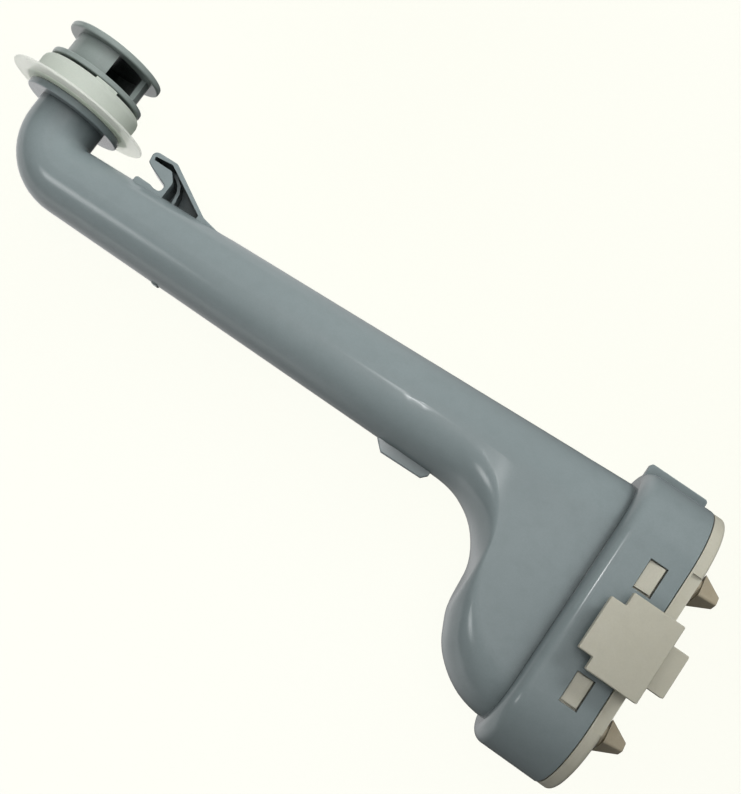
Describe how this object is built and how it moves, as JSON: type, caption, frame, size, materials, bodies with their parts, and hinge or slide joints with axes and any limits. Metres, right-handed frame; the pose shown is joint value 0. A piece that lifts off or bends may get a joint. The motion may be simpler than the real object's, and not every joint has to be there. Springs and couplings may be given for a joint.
{
  "type": "dishwasher upper spray arm feed conduit",
  "caption": "Grey moulded water tube that swells into a docking head with ports and a clip plate; the elbow at its other end carries a windowed spray-arm hub with a loose white bearing ring.",
  "frame": {"origin": "middle of the footprint, on the plane that touches the bearing ring's flange from below", "axes": "+X from the hub to the docking face, +Y along the hub axis towards its free end, +Z across the conduit's mid-plane towards the clip plate"},
  "size_m": [0.2592, 0.1038, 0.0509],
  "materials": {
    "grey_plastic": "satin blue-grey moulded polypropylene",
    "milky_plastic": "milky, slightly translucent white",
    "ivory_plastic": "satin ivory grey",
    "beige_plastic": "satin beige"
  },
  "bodies": {
    "conduit": {"conduit_body": "grey_plastic", "spray_arm_hub": "grey_plastic", "docking_insert": "ivory_plastic"},
    "ring": {"bearing_ring": "milky_plastic"},
    "rocker": {"diverter_rocker": "beige_plastic"}
  },
  "joints": [
    {"name": "ring_spin", "type": "hinge", "parent": "conduit", "child": "ring", "pos_m": [-0.1067, 0.0353, 0.0229], "axis": [0, 1, 0], "continuous": true},
    {"name": "rocker_tilt", "type": "hinge", "parent": "conduit", "child": "rocker", "pos_m": [0.1093, -0.0069, 0.0229], "axis": [0, 0, 1], "range_deg": [-6, 6]}
  ]
}
